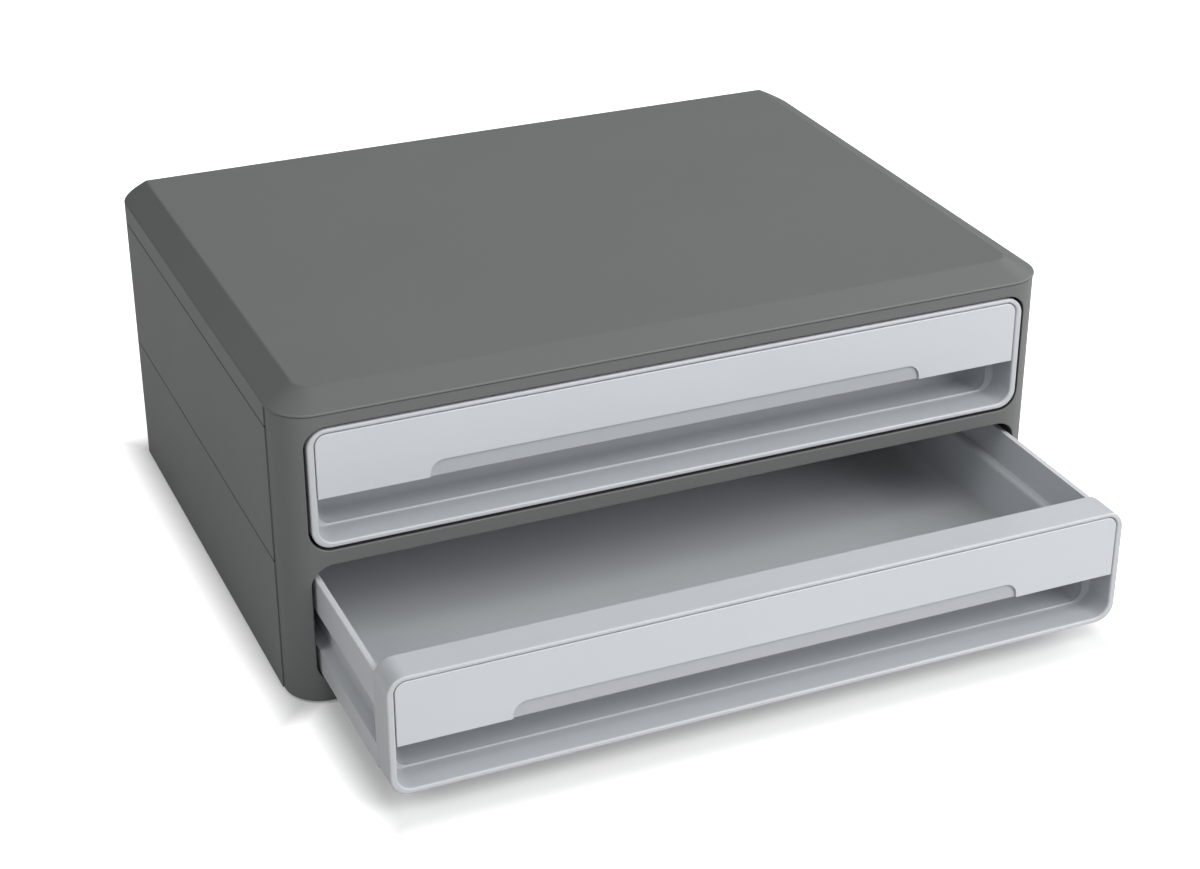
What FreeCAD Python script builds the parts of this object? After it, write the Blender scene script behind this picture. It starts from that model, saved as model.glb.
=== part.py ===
import FreeCAD, Part
import math
import os

import Sketcher

# Monitor stand with two drawers, in millimetres.
# Case frame: X along the front with 0 in the middle, Y from the front face to the back,
# Z up from the case's bottom edge. Drawer frame: the same axes, with Y from the front face of
# the drawer's surround and Z from the surround's underside.

os.makedirs("parts", exist_ok=True)
doc = FreeCAD.newDocument("MonitorStand")
sheet = doc.addObject("Spreadsheet::Sheet", "Sizes")

SIZES = {
    # whole case
    "width": 376.0,
    "depth": 274.0,
    "case_wall": 3.0,
    "rear_corner": 9.0,
    "seam": 0.45,
    "lower_seam_drop": 3.2,
    "upper_seam_drop": 4.1,
    "cover_rise": 13.6,
    # top cover
    "slope_run": 13.6,
    "slope_drop": 6.8,
    "slope_wall": 3.4,
    "cover_corner": 18.0,
    "crease_corner": 8.0,
    "crease_round": 2.5,
    "cover_edge": 0.8,
    "cover_edge_round": 0.8,
    "cover_overhang": 0.3,
    "cover_wall": 3.0,
    "boss_skin": 0.4,
    # stiffening ribs under the cover and the floors
    "rib_thickness": 1.8,
    "rib_pitch": 62.0,
    "cover_rib_height": 7.0,
    "floor_rib_height": 4.2,
    # lap joints between the case's mouldings
    "lap_height": 2.5,
    "lap_thickness": 1.4,
    "lap_clearance": 0.15,
    # front frame
    "frame_inset": 0.6,
    "frame_straight": 0.9,
    "frame_wall": 3.0,
    "frame_side_wall": 2.7,
    "opening_margin": 11.7,
    "opening_bottom": 8.8,
    "opening_height": 59.6,
    "opening_bar": 7.0,
    "opening_corner": 10.0,
    "opening_edge": 0.5,
    "lip_wall": 2.2,
    "lip_depth": 16.0,
    "tongue_thickness": 2.0,
    "tongue_start": 11.0,
    "tongue_reach": 5.2,
    "tongue_margin": 3.5,
    # housings
    "floor_wall": 2.4,
    "floor_gap": 1.8,
    "post_diameter": 6.0,
    "post_inset": 2.6,
    "front_post": 27.2,
    "rear_post": 6.5,
    "boss_diameter": 6.4,
    "boss_height": 4.0,
    # runners
    "runner_start": 30.8,
    "runner_back_gap": 10.0,
    "runner_wall": 2.0,
    "runner_web": 2.5,
    "runner_nose": 1.5,
    "runner_foot_width": 9.0,
    "runner_clearance": 0.45,
    "runner_screw_inset": 20.0,
    # drawers' places and travel
    "opening_gap": 1.2,
    "front_setback": 0.3,
    "lower_drawer_pull": 94.0,
    "drawer_travel": 190.0,
    "stop_slack": 0.5,
    # drawer surround
    "surround_depth": 17.35,
    "surround_side": 3.2,
    "surround_top": 2.15,
    "surround_base": 2.5,
    "ring_upper_corner": 5.5,
    "ring_lower_corner": 7.0,
    "surround_edge": 0.9,
    "surround_back_edge": 0.5,
    "flange_wall": 1.8,
    "flange_reach": 6.0,
    "seat_reach": 2.5,
    "seat_wall": 2.0,
    "seat_gap": 0.1,
    # drawer front panel
    "panel_thickness": 2.5,
    "panel_setback": 0.15,
    "panel_gap": 0.35,
    "panel_bottom": 24.6,
    "panel_edge": 0.45,
    "scoop_half": 121.0,
    "scoop_height": 7.7,
    "scoop_depth": 1.0,
    "scoop_corner": 6.5,
    "grip_reach": 6.0,
    "grip_wall": 2.0,
    "grip_margin": 7.0,
    # drawer tray
    "tray_side_gap": 0.55,
    "tray_base": 1.7,
    "tray_floor": 1.7,
    "tray_wall": 2.8,
    "thin_wall": 1.8,
    "rim_drop": 5.75,
    "rim_round": 0.6,
    "skirt_base": 4.2,
    "channel_bottom": 15.6,
    "channel_height": 17.4,
    "channel_depth": 5.2,
    "channel_round": 2.0,
    "ledge_round": 2.2,
    "floor_round": 5.5,
    "pocket_depth": 20.6,
    "pocket_cove": 9.0,
    "joint_gap": 0.1,
    "joint_lap": 0.1,
    # stops and closing buffers
    "stop_length": 10.0,
    "stop_height": 8.0,
    "stop_reach": 3.9,
    "stop_lip": 1.5,
    "stop_neck": 6.0,
    "stop_lock": 1.5,
    "stop_corner": 1.0,
    "buffer_diameter": 8.0,
    "buffer_length": 4.0,
    "buffer_round": 1.0,
    "buffer_inset": 54.5,
    "buffer_level": 24.0,
    "buffer_gap": 0.3,
    # feet
    "foot_diameter": 16.0,
    "foot_thickness": 3.0,
    "foot_round": 0.8,
    "foot_drop": 1.5,
    "foot_pad_diameter": 19.0,
    "foot_side_inset": 28.0,
    "foot_front_inset": 36.0,
    "foot_back_inset": 28.0,
    # screws
    "tie_shank": 3.0,
    "tie_head": 5.0,
    "tie_head_height": 2.2,
    "tie_hole": 8.6,
    "tie_tip_gap": 0.6,
    "small_shank": 2.5,
    "small_head": 5.0,
    "small_head_height": 1.6,
    "small_length": 7.6,
    "screw_clearance": 0.06,
    "recess_width": 0.8,
    "recess_span": 3.0,
    "recess_depth": 0.9,
    "front_screw_pitch": 90.0,
    "front_boss_diameter": 7.0,
}
TINY = 0.01


class Length:
    """A length that knows both its number and the sheet formula that it comes from."""

    def __init__(self, formula, number):
        self.formula = formula
        self.number = float(number)

    def __add__(self, other):
        other = length(other)
        return Length("(%s + %s)" % (self.formula, other.formula), self.number + other.number)

    def __sub__(self, other):
        other = length(other)
        return Length("(%s - %s)" % (self.formula, other.formula), self.number - other.number)

    def __mul__(self, other):
        other = length(other)
        return Length("%s * %s" % (self.formula, other.formula), self.number * other.number)

    def __truediv__(self, other):
        other = length(other)
        return Length("%s / %s" % (self.formula, other.formula), self.number / other.number)

    def __neg__(self):
        return Length("(0 - %s)" % self.formula, -self.number)


def length(value):
    """The value as a Length, whether it is one already or a plain number."""
    return value if isinstance(value, Length) else Length(repr(float(value)), value)


class Sheet:
    """The spreadsheet's sizes, each under its own name."""


s = Sheet()
for row, (alias, size) in enumerate(SIZES.items(), 1):
    sheet.set("A%d" % row, alias)
    sheet.set("B%d" % row, repr(size))
    sheet.setAlias("B%d" % row, alias)
    setattr(s, alias, Length("Sizes." + alias, size))
doc.recompute()

ZERO = length(0)


def new_body(name, x=ZERO, y=ZERO, z=ZERO):
    """An empty sub-part with its place in the row frame."""
    body = doc.addObject("PartDesign::Body", name)
    body.Label = name
    for axis, offset in zip("xyz", (x, y, z)):
        body.setExpression("Placement.Base." + axis, offset.formula)
    return body


def new_sketch(body, plane, offset):
    """An empty sketch on one of the body's own origin planes, moved along that plane's normal."""
    sketch = body.newObject("Sketcher::SketchObject", "Outline")
    faces = [item for item in body.Origin.OriginFeatures if item.Role == plane + "_Plane"]
    sketch.AttachmentSupport = [(faces[0], "")]
    sketch.MapMode = "FlatFace"
    sketch.setExpression("AttachmentOffset.Base.z", offset.formula)
    return sketch


def fix(sketch, kind, geometry, point, value):
    """Hold one coordinate, or a radius, of a sketch at a sheet formula."""
    if kind == "Radius":
        constraint = Sketcher.Constraint(kind, geometry, value.number)
    else:
        constraint = Sketcher.Constraint(kind, -1, 1, geometry, point, value.number)
    index = sketch.addConstraint(constraint)
    sketch.setExpression("Constraints[%d]" % index, value.formula)


def draw_outline(sketch, corners):
    """A closed outline through corners (x, y) or (x, y, radius), rounded where a radius is given."""
    count = len(corners)
    spots = [FreeCAD.Vector(length(c[0]).number, length(c[1]).number, 0) for c in corners]
    radii = [c[2] if len(c) == 3 and c[2].number > 0 else None for c in corners]
    enter, leave, centre, left_turn = [], [], [], []
    for i, spot in enumerate(spots):
        before = (spots[i - 1] - spot).normalize()
        after = (spots[(i + 1) % count] - spot).normalize()
        left_turn.append(before.cross(after).z < 0)
        if radii[i] is None:
            enter.append(spot)
            leave.append(spot)
            centre.append(None)
            continue
        half_angle = before.getAngle(after) / 2
        reach = radii[i].number / math.tan(half_angle)
        enter.append(spot + before * reach)
        leave.append(spot + after * reach)
        middle = (before + after).normalize()
        centre.append(spot + middle * (radii[i].number / math.sin(half_angle)))

    first = sketch.GeometryCount
    lines = [Part.LineSegment(leave[i], enter[(i + 1) % count]) for i in range(count)]
    sketch.addGeometry(lines, False)
    for i, (x, y) in enumerate((length(c[0]), length(c[1])) for c in corners):
        before, after = first + (i - 1) % count, first + i
        if radii[i] is None:
            sketch.addConstraint(Sketcher.Constraint("Coincident", before, 2, after, 1))
            fix(sketch, "DistanceX", after, 1, x)
            fix(sketch, "DistanceY", after, 1, y)
            continue
        ends = (enter[i], leave[i]) if left_turn[i] else (leave[i], enter[i])
        angles = [math.atan2(end.y - centre[i].y, end.x - centre[i].x) for end in ends]
        circle = Part.Circle(centre[i], FreeCAD.Vector(0, 0, 1), radii[i].number)
        arc = sketch.addGeometry(Part.ArcOfCircle(circle, *angles), False)
        start, stop = (1, 2) if left_turn[i] else (2, 1)
        sketch.addConstraint(Sketcher.Constraint("Tangent", before, 2, arc, start))
        sketch.addConstraint(Sketcher.Constraint("Tangent", arc, stop, after, 1))
        corner = sketch.addGeometry(Part.Point(spots[i]), True)
        sketch.addConstraint(Sketcher.Constraint("PointOnObject", corner, 1, before))
        sketch.addConstraint(Sketcher.Constraint("PointOnObject", corner, 1, after))
        fix(sketch, "DistanceX", corner, 1, x)
        fix(sketch, "DistanceY", corner, 1, y)
        fix(sketch, "Radius", arc, 0, radii[i])


def draw_circle(sketch, x, y, diameter):
    """A circle about (x, y)."""
    centre = FreeCAD.Vector(x.number, y.number, 0)
    circle = Part.Circle(centre, FreeCAD.Vector(0, 0, 1), diameter.number / 2)
    index = sketch.addGeometry(circle, False)
    fix(sketch, "DistanceX", index, 3, x)
    fix(sketch, "DistanceY", index, 3, y)
    fix(sketch, "Radius", index, 0, diameter / 2)


def extrude(kind, body, plane, start, stop, outlines=(), circles=()):
    """Add ("Pad") or cut ("Pocket") the outlines and circles between two places along an axis.

    The plane is XY, XZ or YZ, and start and stop are places along Z, Y or X.
    """
    start, stop = length(start), length(stop)
    backward = plane == "XZ"
    sketch = new_sketch(body, plane, -start if backward else start)
    for corners in outlines:
        draw_outline(sketch, corners)
    for x, y, diameter in circles:
        draw_circle(sketch, length(x), length(y), diameter)
    feature = body.newObject("PartDesign::" + kind, kind)
    feature.Profile = sketch
    feature.setExpression("Length", (stop - start).formula)
    feature.Reversed = backward if kind == "Pad" else not backward
    body.Tip = feature
    return feature


def pad(*where, **shapes):
    return extrude("Pad", *where, **shapes)


def pocket(*where, **shapes):
    return extrude("Pocket", *where, **shapes)


def round_edges(body, radius, test):
    """Fillet the edges of the newest feature whose bounding boxes pass a test."""
    doc.recompute()
    base = body.Tip
    names = ["Edge%d" % number for number, edge in enumerate(base.Shape.Edges, 1)
             if test(edge.BoundBox)]
    if not names:
        raise ValueError("no edge to round on " + body.Label)
    fillet = body.newObject("PartDesign::Fillet", "Fillet")
    fillet.Base = (base, names)
    fillet.setExpression("Radius", radius.formula)
    body.Tip = fillet


def at(place, low, high):
    """Whether both ends of an edge's box lie at one place along an axis."""
    return abs(low - place.number) < TINY and abs(high - place.number) < TINY


def on_flank(box, half):
    """Whether an edge's box lies in one of the two planes at half a width from the middle."""
    return at(half, abs(box.XMin), abs(box.XMax)) and box.XMin * box.XMax > 0


def rectangle(x0, x1, y0, y1):
    return [(x0, y0), (x1, y0), (x1, y1), (x0, y1)]


def across(half, y0, y1, lower=ZERO, upper=ZERO):
    """A rectangle centred on 0 with its lower and upper corners rounded."""
    return [(-half, y0, lower), (half, y0, lower), (half, y1, upper), (-half, y1, upper)]


def flanked(side, near, far):
    """The low and high ends of a stretch that runs from near to far on one side of the middle."""
    return (near, far) if side > 0 else (-far, -near)


def mirrored(side, corners):
    """Corners given for the right-hand side, moved to the side that side's sign gives."""
    return [(length(c[0]) if side > 0 else -length(c[0]),) + tuple(c[1:]) for c in corners]


def both_sides(corners):
    """Right-hand corners, bottom to top, followed by their mirror images back down."""
    return corners + mirrored(-1, corners)[::-1]


SIDES = {"left": -1, "right": 1}
EDGE_MARGIN = 1.0
FRONT_SCREWS = 4

# places shared by several sub-parts, in the case frame
half_width = s.width / 2
inner_half = half_width - s.case_wall
inner_back = s.depth - s.case_wall
opening_pitch = s.opening_height + s.opening_bar
lower_opening_top = s.opening_bottom + s.opening_height
lower_seam = lower_opening_top - s.lower_seam_drop
cover_seam = lower_opening_top + opening_pitch - s.upper_seam_drop
top_level = lower_opening_top + opening_pitch + s.cover_rise
rim = top_level - s.slope_drop
frame_half = half_width - s.frame_inset
frame_corner = s.cover_corner - s.frame_inset
frame_depth = frame_corner + s.frame_straight
housing_front = frame_depth + s.seam
opening_half = half_width - s.opening_margin

surround_half = opening_half - s.opening_gap
surround_height = s.opening_height - s.opening_gap * 2
drawer_base = {"lower": s.opening_bottom + s.opening_gap}
drawer_base["upper"] = drawer_base["lower"] + opening_pitch
floor_top = {level: base - s.floor_gap for level, base in drawer_base.items()}

post_x = inner_half - s.post_inset
posts = [(x, y) for x in (-post_x, post_x) for y in (s.front_post, inner_back - s.rear_post)]
runner_end = inner_back - s.runner_back_gap
runner_screw_y = [s.runner_start + s.runner_screw_inset, (s.runner_start + runner_end) / 2,
                  runner_end - s.runner_screw_inset]
runner_screw_x = inner_half - s.runner_foot_width / 2 - s.runner_web / 2
runner_screws = [(x, y) for x in (-runner_screw_x, runner_screw_x) for y in runner_screw_y]

# places shared by several sub-parts, in the drawer frame
tray_half = surround_half - s.tray_side_gap
tray_rim = surround_height - s.rim_drop
tray_front = s.surround_depth + s.joint_gap
tray_back = inner_back - s.buffer_length - s.buffer_gap - s.front_setback
tray_inner = tray_half - s.tray_wall
channel_back = tray_half - s.channel_depth
channel_top = s.channel_bottom + s.channel_height
well_half = channel_back - s.thin_wall
floor_level = s.tray_base + s.tray_floor
ledge_level = channel_top + s.thin_wall
panel_back = s.panel_setback + s.panel_thickness
ring_half = surround_half - s.surround_side
ring_top = surround_height - s.surround_top
flange_front = s.surround_depth - s.flange_wall
stop_front = s.drawer_travel + s.lip_depth + s.stop_slack - s.front_setback
stop_base = (ledge_level + tray_rim - s.stop_height) / 2
front_screw_level = (ledge_level + tray_rim) / 2
front_screws = [(s.front_screw_pitch * (i - (FRONT_SCREWS - 1) / 2), front_screw_level)
                for i in range(FRONT_SCREWS)]

foot_x = half_width - s.foot_side_inset
foot_y = {"front": s.foot_front_inset, "rear": s.depth - s.foot_back_inset}
feet = {"%s_%s" % (end, hand): (foot_x * SIDES[hand], foot_y[end])
        for end in foot_y for hand in SIDES}

# the case frame's and drawer frames' places in the row frame: 0 is in the middle of the
# footprint, the open drawer included, and on the desk
case_y = (s.lower_drawer_pull - s.front_setback - s.depth) / 2
case_z = s.foot_drop
drawer_y = {"upper": case_y + s.front_setback}
drawer_y["lower"] = drawer_y["upper"] - s.lower_drawer_pull
drawer_z = {level: case_z + base for level, base in drawer_base.items()}


def case_body(name):
    return new_body(name, y=case_y, z=case_z)


def drawer_body(level, name):
    return new_body(level + "_" + name, y=drawer_y[level], z=drawer_z[level])


def plan(inset, corner, back):
    """The cover's plan outline, drawn in by an inset at the sides and front."""
    half = half_width - inset
    return across(half, inset - s.cover_overhang, back, lower=corner)


def u_wall(outer_half, outer_back, thickness):
    """A wall along both sides and round the back of the case, open at the front."""
    inner = outer_half - thickness
    back = outer_back - thickness
    outside = s.rear_corner - (half_width - outer_half)
    inside = outside - thickness
    return [(outer_half, housing_front), (outer_half, outer_back, outside),
            (-outer_half, outer_back, outside), (-outer_half, housing_front),
            (-inner, housing_front), (-inner, back, inside),
            (inner, back, inside), (inner, housing_front)]


def lap_groove(body, seam_level):
    """Cut the rebate that takes the lap tongue of the moulding below."""
    thickness = s.lap_thickness + s.lap_clearance
    groove = u_wall(inner_half + thickness, inner_back + thickness, thickness)
    top = seam_level + s.lap_height + s.lap_clearance
    pocket(body, "XY", seam_level - s.seam, top, outlines=[groove])


def rib_places(low, high, pitch):
    """Evenly pitched places centred between two ends, clear of both."""
    span = (high - low).number
    count = max(1, int(span / pitch.number))
    middle = (low + high) / 2
    return [middle + pitch * (i - (count - 1) / 2) for i in range(count)]


def grid_ribs(body, low, high, half, front, back):
    """A grid of stiffening ribs between two heights."""
    thin = s.rib_thickness / 2
    pad(body, "XY", low, high,
        outlines=[rectangle(x - thin, x + thin, front, back)
                  for x in rib_places(-half, half, s.rib_pitch)])
    pad(body, "XY", low, high,
        outlines=[rectangle(-half, half, y - thin, y + thin)
                  for y in rib_places(front, back, s.rib_pitch)])


def loft(body, kind, low_level, low_corners, high_level, high_corners):
    """Add or cut a straight-sided solid between two outlines at two heights."""
    sketches = []
    for level, corners in ((low_level, low_corners), (high_level, high_corners)):
        sketch = new_sketch(body, "XY", level)
        draw_outline(sketch, corners)
        sketches.append(sketch)
    feature = body.newObject("PartDesign::%sLoft" % kind, "Slope")
    feature.Profile = sketches[0]
    feature.Sections = sketches[1:]
    feature.Ruled = True
    body.Tip = feature


def make_top_cover():
    """The lid: a flat top that slopes down at the front and sides, and a band along three sides."""
    body = case_body("top_cover")
    edge = rim - s.cover_edge
    pad(body, "XY", edge, rim, outlines=[plan(ZERO, s.cover_corner, s.depth)])
    loft(body, "Additive", rim, plan(ZERO, s.cover_corner, s.depth),
         top_level, plan(s.slope_run, s.crease_corner, s.depth))
    back = s.depth.number - EDGE_MARGIN
    round_edges(body, s.crease_round, lambda box: at(top_level, box.ZMin, box.ZMax) and box.YMin < back)
    round_edges(body, s.cover_edge_round, lambda box: at(rim, box.ZMin, box.ZMax) and box.YMin < back)

    # the rear corners are rounded upright, through the ends of the side slopes
    start = s.depth - s.rear_corner - EDGE_MARGIN
    near = half_width - s.rear_corner - EDGE_MARGIN
    beyond = half_width + EDGE_MARGIN
    behind = s.depth + EDGE_MARGIN
    corner = [(beyond, start), (beyond, behind), (near, behind), (near, s.depth),
              (half_width, s.depth, s.rear_corner), (half_width, start)]
    pocket(body, "XY", edge, top_level, outlines=[mirrored(side, corner) for side in SIDES.values()])

    # band along the sides and back, down to the upper housing
    band = u_wall(half_width, s.depth, s.case_wall)
    pad(body, "XY", cover_seam + s.seam / 2, edge, outlines=[band])

    # hollow underside, whose sloping walls follow the outside
    slope = s.slope_run / s.slope_drop
    low_inset = (s.slope_wall - s.cover_edge) * slope
    high_inset = (s.slope_drop + s.slope_wall - s.cover_wall) * slope
    ceiling = top_level - s.cover_wall
    loft(body, "Subtractive", edge, plan(low_inset, s.cover_corner - low_inset, inner_back),
         ceiling, plan(high_inset, s.crease_corner - high_inset + s.slope_run, inner_back))
    grid_ribs(body, ceiling - s.cover_rib_height, ceiling, half_width - high_inset,
              housing_front, inner_back)

    # bosses for the tie screws, which end inside the slope
    boss_top = rim + s.case_wall / slope - s.boss_skin
    pad(body, "XY", cover_seam, boss_top, circles=[(x, y, s.post_diameter) for x, y in posts])
    pocket(body, "XY", cover_seam, cover_seam + s.tie_hole,
           circles=[(x, y, s.tie_shank + s.screw_clearance * 2) for x, y in posts])
    lap_groove(body, cover_seam)


def make_front_frame():
    """The front surround of the case: both drawer openings in one moulding, corners included."""
    body = case_body("front_frame")
    top = rim - s.cover_edge - s.seam
    pad(body, "XY", ZERO, top,
        outlines=[across(frame_half, ZERO, frame_depth, lower=frame_corner)])
    hollow_corner = frame_corner - s.frame_side_wall
    pocket(body, "XY", s.frame_side_wall, top - s.frame_side_wall,
           outlines=[across(frame_half - s.frame_side_wall, s.frame_wall, housing_front,
                            lower=hollow_corner)])

    # a lip round each opening guides the drawer's surround
    def openings(margin):
        half = opening_half + margin
        corner = s.opening_corner + margin
        lows = (s.opening_bottom, s.opening_bottom + opening_pitch)
        return [across(half, low - margin, low + s.opening_height + margin, corner, corner)
                for low in lows]

    pad(body, "XZ", s.frame_wall, s.lip_depth, outlines=openings(s.lip_wall))
    pocket(body, "XZ", -s.frame_wall, s.lip_depth + s.seam, outlines=openings(ZERO))
    round_edges(body, s.opening_edge, lambda box: at(ZERO, box.YMin, box.YMax)
                and max(-box.XMin, box.XMax) < opening_half.number + EDGE_MARGIN
                and box.ZMin > s.frame_side_wall.number
                and box.ZMax < top.number - s.frame_side_wall.number)

    # tongues that reach behind the housings' side walls
    tongue_outer = frame_half - s.frame_side_wall
    tongue_end = frame_depth + s.tongue_reach
    for level, high in (("lower", lower_seam), ("upper", cover_seam)):
        tongues = [rectangle(*flanked(side, tongue_outer - s.tongue_thickness, tongue_outer),
                             s.tongue_start, tongue_end) for side in SIDES.values()]
        pad(body, "XY", floor_top[level] + s.tongue_margin, high - s.seam - s.tongue_margin,
            outlines=tongues)


def make_housing(level):
    """One storey of the case: a floor with side and back walls, open at the front and the top."""
    body = case_body(level + "_housing")
    lower = level == "lower"
    seam_below = ZERO if lower else lower_seam
    bottom = ZERO if lower else lower_seam + s.seam / 2
    seam_above = lower_seam if lower else cover_seam
    top = seam_above - s.seam / 2
    floor = floor_top[level]
    floor_under = floor - s.floor_wall
    pad(body, "XY", bottom, top, outlines=[u_wall(half_width, s.depth, s.case_wall)])
    pad(body, "XY", floor_under, floor,
        outlines=[rectangle(-inner_half, inner_half, housing_front, inner_back)])

    # the tongue that the moulding above laps over
    lap = s.lap_thickness
    pad(body, "XY", top, seam_above + s.lap_height,
        outlines=[u_wall(inner_half + lap, inner_back + lap, lap)])

    # posts for the tie screws, and what stands under the floor
    pad(body, "XY", floor, seam_above, circles=[(x, y, s.post_diameter) for x, y in posts])
    grid_ribs(body, floor_under - s.floor_rib_height, floor_under,
              inner_half, housing_front, inner_back)
    if lower:
        pad(body, "XY", s.foot_thickness - s.foot_drop, floor_under,
            circles=[(x, y, s.foot_pad_diameter) for x, y in feet.values()])
    else:
        pad(body, "XY", seam_below, floor_under,
            circles=[(x, y, s.post_diameter) for x, y in posts])
        lap_groove(body, seam_below)
    pad(body, "XY", floor_under - s.boss_height, floor_under,
        circles=[(x, y, s.boss_diameter) for x, y in runner_screws])
    tie_hole = s.tie_shank + s.screw_clearance * 2
    pocket(body, "XY", seam_below if not lower else floor_under, seam_above,
           circles=[(x, y, tie_hole) for x, y in posts])
    pocket(body, "XY", floor_under - s.boss_height, floor,
           circles=[(x, y, s.small_shank + s.screw_clearance * 2) for x, y in runner_screws])


def make_runner(level, side_name):
    """A rail that stands on the housing's floor against its wall and fills the tray's channel."""
    body = case_body("%s_%s_runner" % (level, side_name))
    side = SIDES[side_name]
    floor = floor_top[level]
    low = drawer_base[level] + s.channel_bottom + s.runner_clearance
    high = drawer_base[level] + channel_top - s.runner_clearance
    tip = channel_back + s.runner_clearance
    web = inner_half - s.runner_web
    foot = inner_half - s.runner_foot_width
    foot_top = floor + s.runner_wall
    section = [(inner_half, floor), (inner_half, high), (tip, high), (tip, low), (web, low),
               (web, foot_top), (foot, foot_top), (foot, floor)]
    core = [(tip + s.runner_wall, low + s.runner_wall), (web, low + s.runner_wall),
            (web, high - s.runner_wall), (tip + s.runner_wall, high - s.runner_wall)]
    pad(body, "XZ", s.runner_start, runner_end,
        outlines=[mirrored(side, section), mirrored(side, core)])
    pocket(body, "XY", floor, foot_top,
           circles=[(x, y, s.small_shank + s.screw_clearance * 2) for x, y in runner_screws
                    if x.number * side > 0])
    nose = tip.number * side
    round_edges(body, s.runner_nose, lambda box: abs(box.XMin - nose) < TINY
                and abs(box.XMax - nose) < TINY and box.ZMax - box.ZMin > s.runner_wall.number)


def make_screws(body, plane, centres, seat, outward, shank, head, head_height, reach):
    """Like screws on parallel axes: pan heads on one side of a seat, shanks on the other."""
    head_end = seat + head_height * outward
    ends = (seat, head_end) if outward > 0 else (head_end, seat)
    pad(body, plane, *ends, circles=[(x, y, head) for x, y in centres])
    tip = seat - reach * outward
    ends = (tip, seat) if outward > 0 else (seat, tip)
    pad(body, plane, *ends, circles=[(x, y, shank) for x, y in centres])
    recess_floor = head_end - s.recess_depth * outward
    ends = (recess_floor, head_end) if outward > 0 else (head_end, recess_floor)
    long, short = s.recess_span / 2, s.recess_width / 2
    for across_x, across_y in ((long, short), (short, long)):
        pocket(body, plane, *ends,
               outlines=[rectangle(x - across_x, x + across_x, y - across_y, y + across_y)
                         for x, y in centres])


def make_tie_screws():
    """Four long screws from under the lower housing, through both housings, into the cover."""
    seat = floor_top["lower"] - s.floor_wall
    reach = cover_seam + s.tie_hole - s.tie_tip_gap - seat
    make_screws(case_body("tie_screws"), "XY", posts, seat, -1,
                s.tie_shank, s.tie_head, s.tie_head_height, reach)


def make_runner_screws(level):
    """The short screws that hold one storey's two runners to its floor."""
    make_screws(case_body(level + "_runner_screws"), "XY", runner_screws,
                floor_top[level] + s.runner_wall, 1,
                s.small_shank, s.small_head, s.small_head_height, s.small_length)


def make_foot(name, x, y):
    """A rubber disc let in under a pad of the lower housing."""
    body = case_body(name + "_foot")
    pad(body, "XY", -s.foot_drop, s.foot_thickness - s.foot_drop,
        circles=[(x, y, s.foot_diameter)])
    round_edges(body, s.foot_round, lambda box: at(-s.foot_drop, box.ZMin, box.ZMax))


def make_buffer(level, side_name):
    """A rubber stub on the housing's back wall that the closed drawer stops against."""
    body = case_body("%s_%s_buffer" % (level, side_name))
    x = (tray_half - s.buffer_inset) * SIDES[side_name]
    tip = inner_back - s.buffer_length
    pad(body, "XZ", tip, inner_back,
        circles=[(x, drawer_base[level] + s.buffer_level, s.buffer_diameter)])
    round_edges(body, s.buffer_round, lambda box: at(tip, box.YMin, box.YMax))


def make_tray(level):
    """The drawer's tray: stepped sides round the runner channels, and a finger pocket in front."""
    body = drawer_body(level, "drawer_tray")
    flank = [(channel_back, s.tray_base), (channel_back, s.channel_bottom - s.thin_wall),
             (tray_half - s.thin_wall, s.channel_bottom - s.thin_wall),
             (tray_half - s.thin_wall, s.skirt_base), (tray_half, s.skirt_base),
             (tray_half, s.channel_bottom), (channel_back, s.channel_bottom),
             (channel_back, channel_top), (tray_half, channel_top, s.channel_round),
             (tray_half, tray_rim, s.rim_round)]
    pad(body, "XZ", tray_front, tray_back, outlines=[both_sides(flank)])

    # the inside above the ledge, then the narrower well behind the finger pocket
    above = tray_rim + s.rim_drop
    front_inside = tray_front + s.thin_wall
    back_inside = tray_back - s.thin_wall
    well_front = tray_front + s.pocket_depth + s.thin_wall
    pocket(body, "XZ", front_inside, back_inside,
           outlines=[across(tray_inner, ledge_level, above)])
    pocket(body, "XZ", well_front, back_inside,
           outlines=[across(well_half, floor_level, above, lower=s.floor_round)])
    round_edges(body, s.ledge_round, lambda box: at(ledge_level, box.ZMin, box.ZMax)
                and max(-box.XMin, box.XMax) < well_half.number + TINY
                and box.YMin > front_inside.number + TINY)

    # finger pocket under the shelf behind the front panel, its back rising in a cove
    roof = ledge_level - s.thin_wall
    pocket_back = tray_front + s.pocket_depth
    pocket_start = tray_front - s.joint_gap
    cove = [(pocket_start, floor_level), (pocket_back, floor_level, s.pocket_cove),
            (pocket_back, roof), (pocket_start, roof)]
    pocket(body, "YZ", -well_half, well_half, outlines=[cove])
    round_edges(body, s.floor_round, lambda box: on_flank(box, well_half)
                and box.YMax > tray_front.number + TINY
                and box.YMax < pocket_back.number + TINY
                and box.ZMin < roof.number - TINY
                and box.ZMax < roof.number + TINY)

    # the floor's front edge, let into the surround
    pad(body, "XZ", flange_front, tray_front,
        outlines=[across(channel_back, s.tray_base, floor_level)])

    # holes for the front's screws, and windows for the stops
    pocket(body, "XZ", tray_front, front_inside,
           circles=[(x, y, s.small_shank + s.screw_clearance * 2) for x, y in front_screws])
    window = stop_window(ZERO)
    for side in SIDES.values():
        pocket(body, "YZ", *flanked(side, tray_inner, tray_half), outlines=[window])


def stop_window(margin):
    """The stop's neck, seen from the side, grown by a margin."""
    middle = stop_front + s.stop_length / 2
    half = s.stop_neck / 2 + margin
    return rectangle(middle - half, middle + half, stop_base + s.stop_lip - margin,
                     stop_base + s.stop_height - s.stop_lip + margin)


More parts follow.
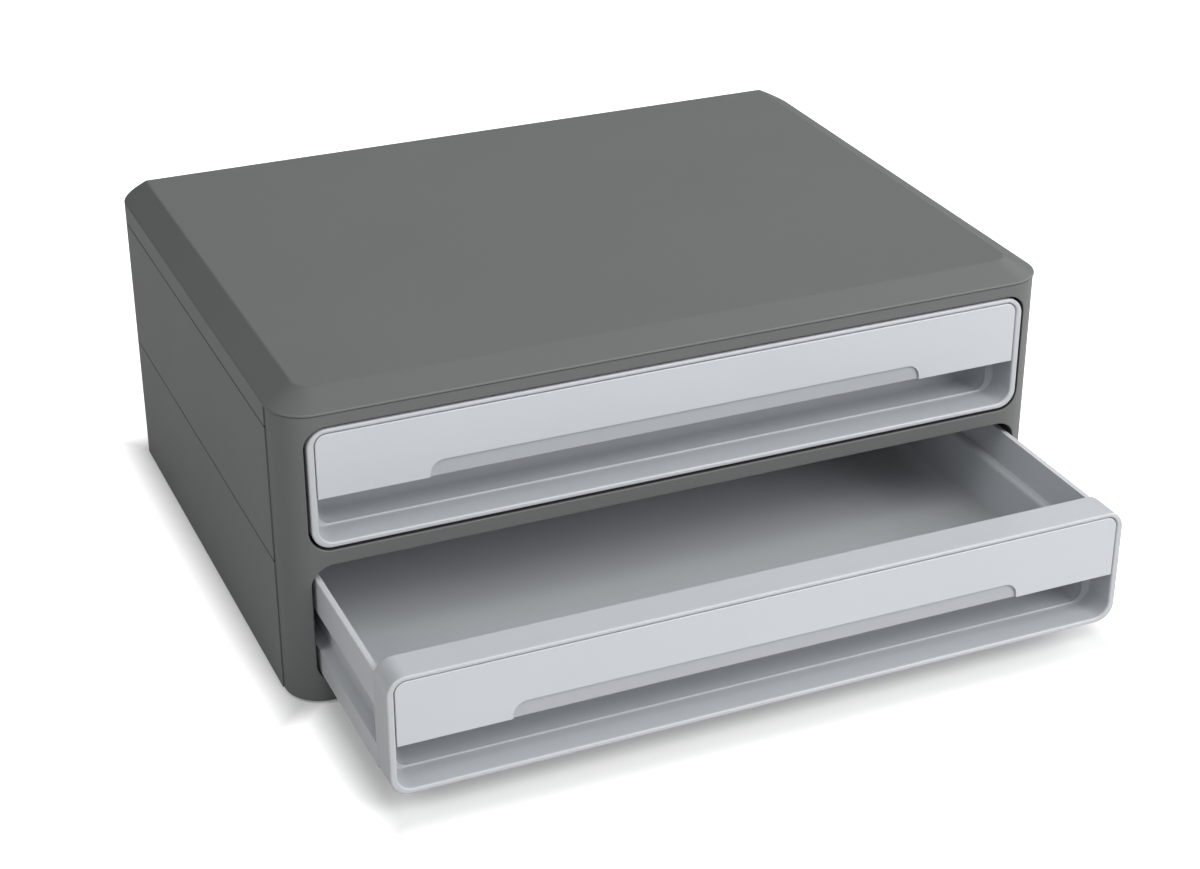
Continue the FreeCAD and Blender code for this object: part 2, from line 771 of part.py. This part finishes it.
def make_stop(level, side_name):
    """A plug through the tray's side, whose head meets the front frame when the drawer is full out."""
    body = drawer_body(level, side_name + "_stop")
    side = SIDES[side_name]
    head = rectangle(stop_front, stop_front + s.stop_length,
                     stop_base, stop_base + s.stop_height)
    tip = tray_half + s.stop_reach
    pad(body, "YZ", *flanked(side, tray_half, tip), outlines=[head])
    pad(body, "YZ", *flanked(side, tray_inner, tray_half), outlines=[stop_window(ZERO)])
    pad(body, "YZ", *flanked(side, tray_inner - s.stop_lock, tray_inner),
        outlines=[stop_window(s.stop_lip / 2)])
    face = tip.number * side
    round_edges(body, s.stop_corner, lambda box: abs(box.XMin - face) < TINY
                and abs(box.XMax - face) < TINY and box.YMin > stop_front.number + TINY)


def make_surround(level):
    """The rounded frame round the drawer's front, with a seat for the panel and a rear flange."""
    body = drawer_body(level, "drawer_surround")
    corner = s.opening_corner - s.opening_gap
    pad(body, "XZ", ZERO, s.surround_depth,
        outlines=[across(surround_half, ZERO, surround_height, corner, corner)])
    ring = across(ring_half, s.surround_base, ring_top, s.ring_lower_corner, s.ring_upper_corner)
    seat_front = panel_back + s.seat_gap
    seat_back = seat_front + s.seat_wall
    seat_half = ring_half - s.seat_reach
    seat_corner = s.ring_upper_corner - s.seat_reach
    stepped = [(ring_half, s.surround_base, s.ring_lower_corner), (ring_half, s.panel_bottom),
               (seat_half, s.panel_bottom), (seat_half, ring_top - s.seat_reach, seat_corner)]
    pocket(body, "XZ", -s.surround_edge, seat_front, outlines=[ring])
    pocket(body, "XZ", seat_front, seat_back, outlines=[both_sides(stepped)])
    pocket(body, "XZ", seat_back, flange_front, outlines=[ring])
    rear = across(well_half, floor_level, ring_top - s.flange_reach, s.floor_round, ZERO)
    pocket(body, "XZ", flange_front, s.surround_depth + s.joint_gap, outlines=[rear])
    lap_half = channel_back + s.joint_lap
    pocket(body, "XZ", flange_front, s.surround_depth + s.joint_gap,
           outlines=[across(lap_half, s.tray_base, floor_level)])
    round_edges(body, s.surround_edge, lambda box: at(ZERO, box.YMin, box.YMax))
    round_edges(body, s.surround_back_edge, lambda box: at(s.surround_depth, box.YMin, box.YMax)
                and (box.ZMax > ring_top.number + EDGE_MARGIN
                     or max(-box.XMin, box.XMax) > ring_half.number + EDGE_MARGIN))


def make_front_panel(level):
    """The drawer's flat front with its shallow scoop, grip lip and screw bosses."""
    body = drawer_body(level, "front_panel")
    half = ring_half - s.panel_gap
    top = ring_top - s.panel_gap
    pad(body, "XZ", s.panel_setback, panel_back,
        outlines=[across(half, s.panel_bottom, top, upper=s.ring_upper_corner - s.panel_gap)])
    scoop_top = s.panel_bottom + s.scoop_height
    pocket(body, "XZ", ZERO, s.panel_setback + s.scoop_depth,
           outlines=[across(s.scoop_half, ZERO, scoop_top, upper=s.scoop_corner)])
    round_edges(body, s.panel_edge, lambda box: at(s.panel_setback, box.YMin, box.YMax)
                and (box.ZMax > scoop_top.number + EDGE_MARGIN))
    grip_half = half - s.grip_margin
    pad(body, "XZ", panel_back, panel_back + s.grip_reach,
        outlines=[across(grip_half, s.panel_bottom, s.panel_bottom + s.grip_wall)])
    pad(body, "XZ", panel_back, tray_front,
        circles=[(x, y, s.front_boss_diameter) for x, y in front_screws])
    pocket(body, "XZ", tray_front + s.thin_wall - s.small_length - s.tie_tip_gap, tray_front,
           circles=[(x, y, s.small_shank + s.screw_clearance * 2) for x, y in front_screws])


def make_front_screws(level):
    """The screws from inside the tray that draw its front panel and surround together."""
    make_screws(drawer_body(level, "front_screws"), "XZ", front_screws,
                tray_front + s.thin_wall, 1,
                s.small_shank, s.small_head, s.small_head_height, s.small_length)


make_top_cover()
make_front_frame()
make_tie_screws()
for foot_name, (foot_x, foot_y) in feet.items():
    make_foot(foot_name, foot_x, foot_y)
for storey in ("lower", "upper"):
    make_housing(storey)
    make_runner_screws(storey)
    make_tray(storey)
    make_surround(storey)
    make_front_panel(storey)
    make_front_screws(storey)
    for hand in SIDES:
        make_runner(storey, hand)
        make_buffer(storey, hand)
        make_stop(storey, hand)
doc.recompute()


def volume_step(feature):
    """How much a feature adds to, or takes from, the one before it."""
    before = feature.BaseFeature
    return feature.Shape.Volume - (before.Shape.Volume if before else 0)


failed = [item.Name for item in doc.Objects if {"Invalid", "Error"} & set(item.State)]
for item in doc.Objects:
    if item.isDerivedFrom("PartDesign::Pocket") and volume_step(item) > -TINY:
        failed.append(item.Name + " cuts nothing")
    if item.isDerivedFrom("PartDesign::Pad") and volume_step(item) < TINY:
        failed.append(item.Name + " adds nothing")
bodies = [item for item in doc.Objects if item.isDerivedFrom("PartDesign::Body")]
for body in bodies:
    if body.Shape.isNull() or not body.Shape.isValid():
        failed.append(body.Label + " has no valid shape")
if failed:
    raise SystemExit("not built: " + ", ".join(failed))
for body in bodies:
    body.Shape.exportStep("parts/%s.step" % body.Label)
    print(body.Label, len(body.Shape.Solids), round(body.Shape.Volume, 1))
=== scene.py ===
import math

import bpy
import numpy as np
from mathutils import Matrix, Vector

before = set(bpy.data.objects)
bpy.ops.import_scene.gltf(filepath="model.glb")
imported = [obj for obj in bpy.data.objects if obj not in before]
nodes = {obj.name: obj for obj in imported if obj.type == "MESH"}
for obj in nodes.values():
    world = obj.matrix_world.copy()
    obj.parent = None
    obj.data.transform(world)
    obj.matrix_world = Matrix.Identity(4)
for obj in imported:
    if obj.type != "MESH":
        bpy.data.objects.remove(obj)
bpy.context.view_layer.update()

# The camera stands in front of the stand's left-hand corner and looks down on its top.
# Its place, turn and lens were solved from the straight edges of the case.
PICTURE_WIDE = 1200
FOCAL_LENGTH = 2374.33
SENSOR_WIDE = 36.0
EYE = Vector((-0.41151, -0.94597, 0.59018))
AZIMUTH, ELEVATION, ROLL = (math.radians(degrees) for degrees in (-23.38, 27.38, -0.07))

eye_back = Vector((math.sin(AZIMUTH) * math.cos(ELEVATION),
                   -math.cos(AZIMUTH) * math.cos(ELEVATION), math.sin(ELEVATION)))
level_right = Vector((math.cos(AZIMUTH), math.sin(AZIMUTH), 0))
level_up = eye_back.cross(level_right)
eye_right = math.cos(ROLL) * level_right + math.sin(ROLL) * level_up
eye_up = math.cos(ROLL) * level_up - math.sin(ROLL) * level_right
lens = bpy.data.cameras.new("front_left_camera")
lens.sensor_width = SENSOR_WIDE
lens.lens = FOCAL_LENGTH / PICTURE_WIDE * SENSOR_WIDE
camera = bpy.data.objects.new("front_left_camera", lens)
camera.matrix_world = Matrix.Translation(EYE) @ Matrix((eye_right, eye_up, eye_back)).transposed().to_4x4()
bpy.context.scene.collection.objects.link(camera)
bpy.context.scene.camera = camera
bpy.context.scene.view_settings.view_transform = "Standard"


# The desk is one pale sheet that runs on to a white horizon. To the camera it glows white away from
# the stand. The glow fades out close to the stand's outline at rest, which deepens its soft shadow.
class Value:
    """One socket of a material's nodes: arithmetic on it adds Math nodes to the same material."""

    def __init__(self, tree, socket):
        self.tree = tree
        self.socket = socket

    def node(self, kind, settings=(), inputs=(), out=0):
        """A new node of a kind, with its settings set first, then its sockets' values or links."""
        made = self.tree.nodes.new("ShaderNode" + kind)
        for name, setting in dict(settings).items():
            setattr(made, name, setting)
        for name, value in dict(inputs).items():
            if isinstance(value, Value):
                self.tree.links.new(value.socket, made.inputs[name])
            else:
                made.inputs[name].default_value = value
        return Value(self.tree, made.outputs[out])

    def maths(self, operation, *values):
        return self.node("Math", {"operation": operation}, dict(enumerate(values)))

    def __add__(self, other):
        return self.maths("ADD", self, other)

    def __radd__(self, other):
        return self.maths("ADD", other, self)

    def __sub__(self, other):
        return self.maths("SUBTRACT", self, other)

    def __rsub__(self, other):
        return self.maths("SUBTRACT", other, self)

    def __mul__(self, other):
        return self.maths("MULTIPLY", self, other)

    def __rmul__(self, other):
        return self.maths("MULTIPLY", other, self)

    def __abs__(self):
        return self.maths("ABSOLUTE", self)

    def or_more(self, other):
        """The larger of this value and another."""
        return self.maths("MAXIMUM", self, other)

    def or_less(self, other):
        """The smaller of this value and another."""
        return self.maths("MINIMUM", self, other)

    def between(self, low, high, rise="LINEAR"):
        """0 up to low, 1 from high on, and an even or another rise in between."""
        return self.node("MapRange", {"clamp": True, "interpolation_type": rise},
                         {"Value": self, "From Min": low, "From Max": high})

    def axis(self, name):
        """The X, Y or Z part of a place."""
        return self.node("SeparateXYZ", {}, {0: self}, out=name)

    def blend(self, first, second):
        """The first colour where this value is 0 and the second where it is 1."""
        return self.node("Mix", {"data_type": "RGBA"}, {"Factor": self, 6: first, 7: second}, out=2)


def new_finish(name):
    """An empty material, its Principled shader and the place of each of its points on the stand."""
    material = bpy.data.materials.new(name)
    material.use_nodes = True
    tree = material.node_tree
    shader = tree.nodes["Principled BSDF"]
    where = Value(tree, tree.nodes.new("ShaderNodeTexCoord").outputs["Object"])
    return material, shader, where


def feed(shader, **sockets):
    """Set or link a shader's sockets, named with underscores for their spaces."""
    for name, value in sockets.items():
        socket = shader.inputs[name.replace("_", " ")]
        if isinstance(value, Value):
            value.tree.links.new(value.socket, socket)
        else:
            socket.default_value = value


DESK_REACH = 6.0
DESK_COLOUR = (0.5, 0.5, 0.5, 1)
SEEN_DESK_COLOUR = (0.7, 0.7, 0.7, 1)
SHADOW_GLOW = 0.15  # what is left of the glow close to the stand
DESK_GLOW = 1.0
GLOW_START, GLOW_END = -0.006, 0.024
MIRRORED_GLOW = 0.2
CASE_HALF_WIDE, CASE_FRONT, CASE_BACK = 0.188, -0.09, 0.184
DRAWER_HALF_WIDE, DRAWER_FRONT = 0.175, -0.191

desk_mesh = bpy.data.meshes.new("desk")
corner_signs = np.array([(-1, -1), (1, -1), (1, 1), (-1, 1)], float)
desk_mesh.from_pydata(np.column_stack((corner_signs * DESK_REACH, np.zeros(4))).tolist(), [], [(0, 1, 2, 3)])
desk = bpy.data.objects.new("desk", desk_mesh)
bpy.context.scene.collection.objects.link(desk)
desk_finish, desk_shader, where = new_finish("pale_desk")
ray = where.tree.nodes.new("ShaderNodeLightPath")
looked_at = Value(where.tree, ray.outputs["Is Camera Ray"])
seen = looked_at.or_more(Value(where.tree, ray.outputs["Is Glossy Ray"]))
sideways = abs(where.axis("X"))
along = where.axis("Y")
from_case = (sideways - CASE_HALF_WIDE).or_more(CASE_FRONT - along)
from_drawer = (sideways - DRAWER_HALF_WIDE).or_more(DRAWER_FRONT - along)
from_stand = from_case.or_less(from_drawer).or_more(along - CASE_BACK)
away = from_stand.between(GLOW_START, GLOW_END, "SMOOTHSTEP")
glow = (away * (DESK_GLOW - SHADOW_GLOW) + SHADOW_GLOW) * looked_at.or_more(seen * MIRRORED_GLOW)
feed(desk_shader, Base_Color=seen.blend(DESK_COLOUR, SEEN_DESK_COLOUR), Roughness=0.9, Specular_IOR_Level=0.0,
     Emission_Color=glow.blend((0, 0, 0, 1), (1, 1, 1, 1)), Emission_Strength=1.0)
desk.data.materials.append(desk_finish)

# The room is white to the camera and gives a weak even light. The softboxes stand high in front, in
# front on both sides, on the left, on the right and behind.
ROOM_LIGHT = 0.1

room = bpy.data.worlds.new("white_room")
bpy.context.scene.world = room
room.use_nodes = True
room_ray = room.node_tree.nodes.new("ShaderNodeLightPath")
room_seen = Value(room.node_tree, room_ray.outputs["Is Camera Ray"])
background = room.node_tree.nodes["Background"]
strength = room_seen * (1 - ROOM_LIGHT) + ROOM_LIGHT
room.node_tree.links.new(strength.socket, background.inputs["Strength"])
background.inputs["Color"].default_value = (1, 1, 1, 1)


def softbox(name, place, wide, high, power):
    """A flat white lamp of a given size that faces the middle of the stand."""
    lamp = bpy.data.lights.new(name, "AREA")
    lamp.shape = "RECTANGLE"
    lamp.size, lamp.size_y = wide, high
    lamp.energy = power
    holder = bpy.data.objects.new(name, lamp)
    direction = Vector((0, 0, 0.08)) - Vector(place)
    holder.matrix_world = Matrix.Translation(place) @ direction.to_track_quat("-Z", "Y").to_matrix().to_4x4()
    bpy.context.scene.collection.objects.link(holder)


softbox("high_softbox", (0.3, -1.3, 1.8), 1.6, 1.0, 21)
softbox("front_right_softbox", (1.4, -1.8, 1.1), 1.2, 1.2, 36)
softbox("front_left_softbox", (-0.9, -2.2, 1.0), 1.2, 1.2, 9)
softbox("left_softbox", (-1.7, -0.4, 1.6), 1.4, 1.2, 13.5)
softbox("right_softbox", (2.2, 0.1, 1.2), 1.4, 1.2, 25)
softbox("back_softbox", (0.8, 2.0, 1.2), 2.0, 0.8, 7)


# The top cover is one injection moulding in dark grey plastic: a flat top with sloped front and
# side edges, and ribs and screw bosses below. The mould's steel left a fine satin grain on it.
CASE_COLOUR = (0.119, 0.1256, 0.1226)
CASE_ROUGHNESS = 0.55
CASE_GRAIN = 0.0005
CASE_GRAIN_DEPTH = 0.000008
CLOUD_SIZE = 0.06
CLOUD_DEPTH = 0.008
CLOUD_GLOSS = 0.01


def spots(where, size, detail=2.0, drawn_out=(1, 1, 1)):
    """Soft noise about 0.5 whose spots are a size in metres, drawn out along the axes."""
    place = where.node("VectorMath", {"operation": "DIVIDE"}, {0: where, 1: [size * times for times in drawn_out]})
    return place.node("TexNoise", {}, {"Vector": place, "Scale": 1.0, "Detail": detail}, out="Fac")


def shade(colour, times):
    """A colour made lighter or darker."""
    return tuple(part * times for part in colour) + (1,)


def moulded(name, colour, roughness, grain, depth, cloud=CLOUD_DEPTH, gloss=CLOUD_GLOSS,
            painted_shade=None, painted_shade_times=1.0, painted_shade_rougher=0.0):
    """A moulded plastic: faint clouds in its colour and gloss, and the fine grain of its mould.

    Bump height is the grain noise times its depth in metres. Where the painted shade mask gives 1 for a place on
    the stand, the plastic is darker by a factor, as painted shade, and rougher by an amount."""
    material, shader, where = new_finish(name)
    clouds = spots(where, CLOUD_SIZE, 3.0).between(0.35, 0.65)
    flecks = spots(where, grain, 1.0)
    relief = flecks.node("Bump", {}, {"Strength": 1.0, "Distance": depth, "Height": flecks}, out="Normal")
    tint = clouds.blend(shade(colour, 1 - cloud), shade(colour, 1 + cloud))
    gleam = (1 - clouds) * gloss + (roughness - gloss / 2) + (flecks - 0.5) * gloss
    if painted_shade:
        mask = painted_shade(where)
        tint = mask.blend(tint, shade(colour, painted_shade_times))
        gleam = gleam + mask * painted_shade_rougher
    feed(shader, Base_Color=tint, Roughness=gleam, Normal=relief)
    return material


def dress(finish, *names):
    """Give CAD nodes a finish in place of their plain one."""
    for name in names:
        piece = nodes[name].data
        piece.materials.clear()
        piece.materials.append(finish)


SEAM_LEVELS = (0.0667, 0.1324)
SEAM_HALF = 0.00034
SEAM_FADE = 0.00001
SEAM_PAINTED_SHADE = 0.2
SHADOW_ROUGHER = 0.2


def seams(where):
    """1 in the two seams between the stacked mouldings, where |z - level| is small.

    The photograph shows them as dark lines, but the light reaches into the model's fine gaps."""
    height = where.axis("Z")
    near = [1 - abs(height - level).between(SEAM_HALF, SEAM_HALF + SEAM_FADE) for level in SEAM_LEVELS]
    return near[0] + near[1]


# The storeys' plastic gets painted shade along the two seams: a darker colour there, and a little rougher.
storey_finish = moulded("storey_plastic", CASE_COLOUR, CASE_ROUGHNESS, CASE_GRAIN, CASE_GRAIN_DEPTH,
                        painted_shade=seams, painted_shade_times=SEAM_PAINTED_SHADE, painted_shade_rougher=SHADOW_ROUGHER)
dress(storey_finish, "top_cover")

# The front frame is the case's front wall with its rounded corners and both drawer mouths. It is
# moulded in the same grain and is let in between the floor and the cover. The walls of the mouths
# are painted darker, as painted shade, so that the gaps round the drawers look as black as in the photograph.
MOUTH_START = -0.0896
MOUTH_START_FADE = 0.0004
MOUTH_HALF_WIDE, MOUTH_HALF_HIGH, MOUTH_CORNER = 0.1765, 0.03, 0.0102
MOUTH_EDGE_FADE = 0.0001
MOUTH_LEVELS = (0.0401, 0.1067)
MOUTH_PAINTED_SHADE = 0.25


def mouths(where):
    """1 on the walls of the two mouths: behind the frame's front face, and inside the mouths'
    outlines, which are round where the squares of the ways past both sides add up to the corner's."""
    sideways = abs(where.axis("X"))
    along = where.axis("Y")
    height = where.axis("Z")
    upright = abs(height - MOUTH_LEVELS[0]).or_less(abs(height - MOUTH_LEVELS[1]))
    past_side = (sideways - (MOUTH_HALF_WIDE - MOUTH_CORNER)).or_more(0)
    past_level = (upright - (MOUTH_HALF_HIGH - MOUTH_CORNER)).or_more(0)
    from_corner = past_side * past_side + past_level * past_level
    outside = from_corner.between(MOUTH_CORNER ** 2, (MOUTH_CORNER + MOUTH_EDGE_FADE) ** 2)
    return along.between(MOUTH_START, MOUTH_START + MOUTH_START_FADE) * (1 - outside)


# The walls of the mouths get painted shade: a darker colour there, and a little rougher.
frame_finish = moulded("frame_plastic", CASE_COLOUR, CASE_ROUGHNESS, CASE_GRAIN, CASE_GRAIN_DEPTH,
                       painted_shade=mouths, painted_shade_times=MOUTH_PAINTED_SHADE, painted_shade_rougher=SHADOW_ROUGHER)
dress(frame_finish, "front_frame")

# The two housings are the storeys of the case, the same open-fronted moulding twice, set one on
# the other. Their seams run round the sides and the back.
dress(storey_finish, "lower_housing", "upper_housing")

# The runners are strips of black low-friction plastic, screwed down inside the housings. The
# drawers' channels have drawn fine streaks along them.
RUNNER_COLOUR = (0.065, 0.065, 0.07)
RUNNER_ROUGHNESS = 0.34
STREAK_WIDTH = 0.0007
STREAK_LENGTH = 60  # times the width
STREAK_SHADES = (0.85, 1.2)
STREAK_DULLNESS = 0.12
STREAK_DEPTH = 0.000006

runner_finish, runner_shader, where = new_finish("runner_plastic")
streaks = spots(where, STREAK_WIDTH, 2.0, (1, STREAK_LENGTH, 1)).between(0.3, 0.7)
streak_colours = [shade(RUNNER_COLOUR, times) for times in STREAK_SHADES]
relief = streaks.node("Bump", {}, {"Strength": 1.0, "Distance": STREAK_DEPTH, "Height": streaks}, out="Normal")
feed(runner_shader, Base_Color=streaks.blend(*streak_colours), Normal=relief,
     Roughness=streaks * STREAK_DULLNESS + (RUNNER_ROUGHNESS - STREAK_DULLNESS / 2))
dress(runner_finish, *(name for name in nodes if name.endswith("runner")))

# The trays are light grey mouldings with stepped sides: a channel in each side rides on a runner,
# and inside it makes a ledge. Their colour is the surrounds' colour made a little paler, as painted
# light, to come nearer to the photograph.
DRAWER_COLOUR = (0.478, 0.498, 0.523)
DRAWER_ROUGHNESS = 0.34
DRAWER_GRAIN = 0.0006
DRAWER_GRAIN_DEPTH = 0.000006
TRAY_PAINTED_LIGHT = 1.12
tray_painted_light_colour = [part * TRAY_PAINTED_LIGHT for part in DRAWER_COLOUR]
tray_finish = moulded("tray_plastic", tray_painted_light_colour, DRAWER_ROUGHNESS, DRAWER_GRAIN, DRAWER_GRAIN_DEPTH)
dress(tray_finish, "lower_drawer_tray", "upper_drawer_tray")

# The surrounds are the rounded rings that frame each drawer's front. Screws draw them against
# the tray, behind the panel.
drawer_finish = moulded("drawer_plastic", DRAWER_COLOUR, DRAWER_ROUGHNESS, DRAWER_GRAIN, DRAWER_GRAIN_DEPTH)
dress(drawer_finish, "lower_drawer_surround", "upper_drawer_surround")

# The front panels are smoother and paler than the rest. The shallow scoop for the fingertips along
# the lower edge is painted darker than its panel, as painted shade, and is a little rougher, as it looks in the
# photograph.
PANEL_COLOUR = (0.53, 0.55, 0.58)
PANEL_ROUGHNESS = 0.26
PANEL_GRAIN_DEPTH = 0.000004
PANEL_FRONT = {"lower": -0.1837, "upper": -0.0897}
SCOOP_HALF = 0.1214
SCOOP_DEPTH = 0.0006
SCOOP_FADE = 0.0002
SCOOP_PAINTED_SHADE = 0.74
SCOOP_ROUGHNESS = 0.12


def scoop(front):
    """1 on a panel's scoop and 0 elsewhere: deeper behind the front than most of the panel, and
    |x| inside the scoop's half width."""
    def mask(where):
        sideways = abs(where.axis("X"))
        along = where.axis("Y")
        outside = sideways.between(SCOOP_HALF, SCOOP_HALF + SCOOP_FADE)
        deep = front + SCOOP_DEPTH
        return along.between(deep, deep + SCOOP_FADE) * (1 - outside)
    return mask


# Each panel's scoop gets painted shade: a darker colour there, and a little rougher.
for level, front in PANEL_FRONT.items():
    panel_finish = moulded(level + "_panel_plastic", PANEL_COLOUR, PANEL_ROUGHNESS, DRAWER_GRAIN,
                           PANEL_GRAIN_DEPTH, painted_shade=scoop(front), painted_shade_times=SCOOP_PAINTED_SHADE,
                           painted_shade_rougher=SCOOP_ROUGHNESS)
    dress(panel_finish, level + "_front_panel")

# The travel stops are small grey mouldings that snap into the trays' side walls.
STOP_COLOUR = (0.3, 0.31, 0.33)
STOP_ROUGHNESS = 0.4
stop_finish = moulded("stop_plastic", STOP_COLOUR, STOP_ROUGHNESS, DRAWER_GRAIN, DRAWER_GRAIN_DEPTH)
dress(stop_finish, *(name for name in nodes if name.endswith("stop")))

# The feet and the closing buffers are soft black rubber, a little dusty and quite matt.
RUBBER_COLOUR = (0.03, 0.03, 0.03)
RUBBER_ROUGHNESS = 0.75
RUBBER_GRAIN = 0.0004
RUBBER_GRAIN_DEPTH = 0.00002
DUST_DEPTH = 0.15
DUST_GLOSS = 0.08
rubber_finish = moulded("rubber", RUBBER_COLOUR, RUBBER_ROUGHNESS, RUBBER_GRAIN, RUBBER_GRAIN_DEPTH,
                        cloud=DUST_DEPTH, gloss=DUST_GLOSS)
dress(rubber_finish, *(name for name in nodes if name.endswith("foot") or name.endswith("buffer")))

# The screws are zinc plated steel with cross recesses. The plating is bright, with duller and
# warmer spots.
TARNISH_SIZE = 0.0016
ZINC_COLOURS = (0.5, 0.5, 0.52, 1), (0.66, 0.65, 0.62, 1)
ZINC_ROUGHNESS = 0.25
TARNISH_ROUGHER = 0.15
zinc_finish, zinc_shader, where = new_finish("screw_steel")
tarnish = spots(where, TARNISH_SIZE, 3.0).between(0.3, 0.7)
feed(zinc_shader, Base_Color=tarnish.blend(*ZINC_COLOURS), Metallic=1.0,
     Roughness=tarnish * TARNISH_ROUGHER + ZINC_ROUGHNESS)
dress(zinc_finish, *(name for name in nodes if name.endswith("screws")))
